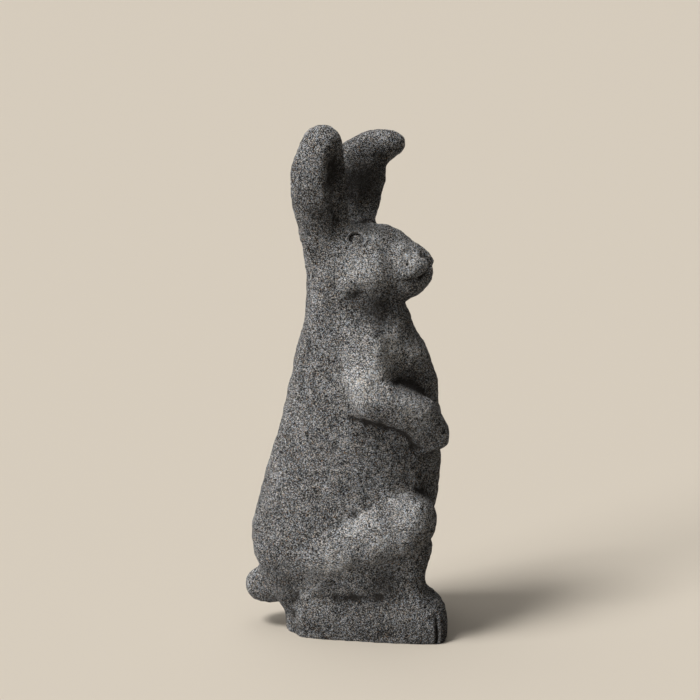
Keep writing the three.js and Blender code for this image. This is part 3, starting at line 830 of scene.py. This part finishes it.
stone = {
    "dark": (0.014, 0.0135, 0.013, 1),
    "light": (0.67, 0.665, 0.65, 1),
    # how much paler worn places and painted light make the stone
    "wornAndLitGain": (1.42, 1.42, 1.41, 1),
    # the colour of the painted shade
    "paintedShadeColour": (0.020, 0.0165, 0.0135, 1),
    "coolGrain": (0.91, 1.0, 1.13, 1),
    "warmGrain": (1.11, 1.0, 0.88, 1),
    "rust": (0.36, 0.19, 0.08, 1),
    # size of each kind of grain, and its share of the tone
    "grains": [0.5, 0.35],
    "grainShares": [0.8, 0.2],
    # wavelength, detail, roughness and share of the tone of the uneven colour, broad and fine
    "blotch": [16, 3, 0.6, 0.35],
    "cloud": [3.2, 1, 0.5, 0.3],
    # how far worn places and painted light lift the tone
    "wornAndLitLift": 0.23,
    # tones over which dark turns to light, and the random numbers over which cool turns to warm
    # and rust starts
    "tones": [0.44, 1.0],
    "tints": [0.1, 0.9],
    "rusty": [0.985, 0.987],
    "rustShare": 0.8,
    # how far the painted shade darkens the stone
    "paintedShadeShare": 0.94,
    # bump's depth, and its shares of coarse grain, fine grain and fine cloud
    "bumpDepth": 0.5,
    "bumpShares": [0.5, 0.3, 0.6],
    "roughness": 0.92,
    "shine": 0.3,
    # where it is pale, partly worn by hands and weather and partly painted light on lit parts: side, forward, up,
    # reach, share
    "wearAndLight": [
        [-45, 14, 213, 20, 0.9],  # shoulder
        [-34, 30, 230, 18, 0.9],  # front of the shoulder
        [-20, 50, 225, 14, 0.7],  # chest
        [-46, 50, 190, 15, 0.7],  # forearm
        [-18, 48, 298, 17, 1],  # muzzle
        [-16, 12, 317, 18, 0.8],  # brow
        [-31, 12, 292, 20, 0.7],  # cheek
        [-49, 46, 101, 18, 0.8],  # knee
        [-52, 14, 90, 20, 0.7],  # thigh
        [-48, -10, 66, 16, 0.7],  # hip
        [-34, -28, 35, 12, 0.5],  # heel
    ],
    # painted shade in hollows, under things and on the shaded bent ear: side, forward, up, reach, share
    "paintedShade": [
        [-44, 22, 174, 12, 0.5],  # under the forearm
        [-28, 50, 202, 11, 0.9],  # fold over the forearm
        [-33, 54, 158, 14, 0.6],  # under the paw
        [-28, 22, 262, 14, 0.9],  # under the jaw
        [8, 10, 352, 24, 1],  # front of the bent ear
        [-25, -8, 362, 18, 0.8],  # hollow of the upright ear
        [-32, -20, 336, 16, 0.7],  # root of the upright ear
        [-33, 57, 116, 9, 0.8],  # over the knee
        [-43, 28, 50, 15, 0.8],  # under the thigh
        [-32, -47, 46, 16, 0.6],  # under the rump
        [-11, 62, 296, 3, 1],  # nostril
        [-18, 53, 281, 6, 0.6],  # corner of the mouth
    ],
    # darker towards the floor: the heights it fades between, and its share
    "towardsFloor": [10, 42, 0.35],
    # depths of wide and narrow hollows, in millimetres, between which shade is painted, and its share
    "wideHollowShade": [0.3, 2.0, 0.45],
    "narrowHollowShade": [0.25, 0.9, 0.6],
    # heights of narrow ridges over which they are rubbed pale, and depths of wide hollows over which the wear
    # and painted light are lost, each with its share
    "rubbed": [0.3, 0.9, 0.25],
    "wearLost": [0.2, 1.2, 0.5],
}


def stoneMaterial():
    recipe = Recipe("volcanicStone")
    where = recipe.make("ShaderNodeTexCoord", {}, {}, "Object")
    wornAndLit = recipe.make("ShaderNodeAttribute", {"attribute_name": "wornAndLit"}, {}, "Fac")
    paintedShade = recipe.make("ShaderNodeAttribute", {"attribute_name": "paintedShade"}, {}, "Fac")

    def specks(size):
        # three random numbers for each grain of about this size
        cells = recipe.make("ShaderNodeTexVoronoi", {}, {"Vector": where, "Scale": 1 / (size * mm)}, "Color")
        return [recipe.make("ShaderNodeSeparateColor", {}, {"Color": cells}, i) for i in range(3)]

    coarse, fine = [specks(size) for size in stone["grains"]]
    *blotchLook, blotchShare = stone["blotch"]
    *cloudLook, cloudShare = stone["cloud"]
    blotch, cloud = recipe.noise(where, *blotchLook), recipe.noise(where, *cloudLook)
    coarseShare, fineShare = stone["grainShares"]
    level = coarse[0] * coarseShare + fine[0] * fineShare
    level = level + (blotch - 0.5) * blotchShare + (cloud - 0.5) * cloudShare + wornAndLit * stone["wornAndLitLift"]
    colour = recipe.blend(recipe.ease(level, *stone["tones"]), stone["dark"], stone["light"])
    tint = recipe.blend(recipe.ease(coarse[1], *stone["tints"]), stone["coolGrain"], stone["warmGrain"])
    colour = recipe.blend(1, colour, tint, "MULTIPLY")
    rust = recipe.ease(coarse[2], *stone["rusty"]) * (1 - wornAndLit) * stone["rustShare"]
    colour = recipe.blend(rust, colour, stone["rust"])
    # paler where worn, and painted light on the lit shoulder, arm, head, thigh and knee
    colour = recipe.blend(1, colour, recipe.blend(wornAndLit, (1, 1, 1, 1), stone["wornAndLitGain"]), "MULTIPLY")
    # painted shade: darker in hollows, under things, at the listed spots and towards the floor
    colour = recipe.blend(paintedShade * stone["paintedShadeShare"], colour, stone["paintedShadeColour"])
    coarseBump, fineBump, cloudBump = stone["bumpShares"]
    height = coarse[0] * coarseBump + fine[0] * fineBump + cloud * cloudBump
    depth = {"Strength": 1.0, "Distance": stone["bumpDepth"] * mm, "Height": height}
    bump = recipe.make("ShaderNodeBump", {}, depth)
    surface = recipe.make("ShaderNodeBsdfPrincipled", {}, {
        "Base Color": colour, "Roughness": stone["roughness"], "Normal": bump,
        "Specular IOR Level": stone["shine"],
    })
    return recipe.finish(surface)


def attribute(mesh, name, values):
    layer = mesh.attributes.new(name, "FLOAT", "POINT")
    layer.data.foreach_set("value", np.asarray(values, np.float32))


steelLook = {
    "dark": (0.27, 0.29, 0.30, 1),
    "pale": (0.42, 0.44, 0.45, 1),
    "spangle": 2.5,
    "metallic": 0.9,
    "roughness": 0.45,
}


def steelMaterial():
    recipe = Recipe("galvanisedSteel")
    where = recipe.make("ShaderNodeTexCoord", {}, {}, "Object")
    cells = {"Vector": where, "Scale": 1 / (steelLook["spangle"] * mm)}
    spangle = recipe.make("ShaderNodeTexVoronoi", {}, cells)
    colour = recipe.blend(spangle, steelLook["dark"], steelLook["pale"])
    surface = recipe.make("ShaderNodeBsdfPrincipled", {}, {
        "Base Color": colour, "Metallic": steelLook["metallic"], "Roughness": steelLook["roughness"],
    })
    return recipe.finish(surface)


def sunken(rounds):
    # how deep each point lies, in millimetres, below the skin smoothed by so many rounds
    points = pointsOf(mesh)
    settled = soften(mesh, points, rounds, np.ones(len(points)))
    return ((settled - points) * normalsOf(mesh, points)).sum(axis=1) / mm


def between(values, limits):
    # the last limit's share of a step between the first two
    low, high, most = limits
    return most * smoothStep(values, low, high)


spots = unplace(pointsOf(mesh))
wideHollow, narrowHollow = [sunken(rounds) for rounds in skin["hollowRounds"]]
# pale places: partly wear, partly painted light
wornAndLit = spotted(spots, stone["wearAndLight"])
# darker towards the floor, added to the painted shade
low, high, most = stone["towardsFloor"]
darkerTowardsFloor = most * (1 - smoothStep(spots[:, 2], low, high))
# painted shade in the hollows, less where the stone is pale
hollowShade = between(wideHollow, stone["wideHollowShade"]) * (1 - wornAndLit)
hollowShade = hollowShade + between(narrowHollow, stone["narrowHollowShade"])
rubbed = between(-narrowHollow, stone["rubbed"])
attribute(mesh, "wornAndLit", np.minimum(wornAndLit * (1 - between(wideHollow, stone["wearLost"])) + rubbed, 1))
# painted shade: the listed spots, the hollows and the band near the floor
attribute(mesh, "paintedShade", np.clip(spotted(spots, stone["paintedShade"]) + hollowShade + darkerTowardsFloor, 0, 1))
mesh.materials.append(stoneMaterial())
steel = steelMaterial()
for name in ("right_ear_bar", "left_ear_bar"):
    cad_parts[name].material_slots[0].material = steel

# Studio: a plain pale floor, a soft key light from the upper left, a softer one overhead, a low one.
# Lamps: strength, then in degrees the angle across, the rise, and the turn from the left towards the camera.
studio = {
    # the floor's colour to the camera, and the darker one in the light that it throws on the stone
    "floor": (0.675, 0.605, 0.508, 1),
    "floorInBounces": (0.30, 0.28, 0.25, 1),
    "halfFloor": 40.0,
    "lamps": {"key": [2.0, 18, 61, 22], "overhead": [0.75, 60, 72, -55], "low": [1.85, 22, 14, 34]},
    "lampsAway": 3,
    # the sky's strength and colour as a light, and the backdrop that the camera sees in its place
    "sky": 0.08,
    "skyColour": (1, 0.98, 0.95, 1),
    "backdrop": (0.80, 0.74, 0.66),
}


def addFloor():
    half = studio["halfFloor"]
    corners = [(-half, -half, 0), (half, -half, 0), (half, half, 0), (-half, half, 0)]
    floorMesh = bpy.data.meshes.new("studioFloor")
    floorMesh.from_pydata(corners, [], [(0, 1, 2, 3)])
    floor = bpy.data.objects.new("studioFloor", floorMesh)
    bpy.context.scene.collection.objects.link(floor)
    recipe = Recipe("paleFloor")
    seen = recipe.make("ShaderNodeLightPath", {}, {}, "Is Camera Ray")
    colour = recipe.blend(seen, studio["floorInBounces"], studio["floor"])
    settings = {"Base Color": colour, "Roughness": 0.95, "Specular IOR Level": 0.1}
    floorMesh.materials.append(recipe.finish(recipe.make("ShaderNodeBsdfPrincipled", {}, settings)))


def addLamp(name, strength, angle, rise, towardsCamera):
    lamp = bpy.data.lights.new(name, "SUN")
    lamp.energy = strength
    lamp.angle = math.radians(angle)
    rise, towards = math.radians(rise), math.radians(towardsCamera)
    back = Vector((-math.cos(rise) * math.sin(towards), math.cos(rise) * math.cos(towards), math.sin(rise)))
    holder = bpy.data.objects.new(name, lamp)
    holder.location = back * studio["lampsAway"]
    holder.rotation_euler = back.to_track_quat("Z", "Y").to_euler()
    bpy.context.scene.collection.objects.link(holder)


def addSky():
    world = bpy.data.worlds.new("studioSky")
    world.use_nodes = True
    nodes, links = world.node_tree.nodes, world.node_tree.links
    nodes.clear()
    path = nodes.new("ShaderNodeLightPath")
    light, seen = nodes.new("ShaderNodeBackground"), nodes.new("ShaderNodeBackground")
    light.inputs["Color"].default_value = studio["skyColour"]
    light.inputs["Strength"].default_value = studio["sky"]
    seen.inputs["Color"].default_value = (*studio["backdrop"], 1)
    mix, output = nodes.new("ShaderNodeMixShader"), nodes.new("ShaderNodeOutputWorld")
    links.new(path.outputs["Is Camera Ray"], mix.inputs[0])
    links.new(light.outputs[0], mix.inputs[1])
    links.new(seen.outputs[0], mix.inputs[2])
    links.new(mix.outputs[0], output.inputs["Surface"])
    bpy.context.scene.world = world


# Camera: from the rabbit's right side, a little above it.
camera = {
    "target": (0, -0.0031, 0.2213), "distance": 1.9, "azimuth": -90, "elevation": 15,
    "lens": 127.9, "sensor": 36,
}


def addCamera():
    turn, rise = math.radians(camera["azimuth"]), math.radians(camera["elevation"])
    back = Vector((math.sin(turn) * math.cos(rise), -math.cos(turn) * math.cos(rise), math.sin(rise)))
    lens = bpy.data.cameras.new("camera")
    lens.lens, lens.sensor_width = camera["lens"], camera["sensor"]
    holder = bpy.data.objects.new("camera", lens)
    holder.location = Vector(camera["target"]) + back * camera["distance"]
    holder.rotation_euler = back.to_track_quat("Z", "Y").to_euler()
    bpy.context.scene.collection.objects.link(holder)
    bpy.context.scene.camera = holder


addFloor()
for name, values in studio["lamps"].items():
    addLamp(name, *values)
addSky()
addCamera()
bpy.context.scene.view_settings.view_transform = "Standard"
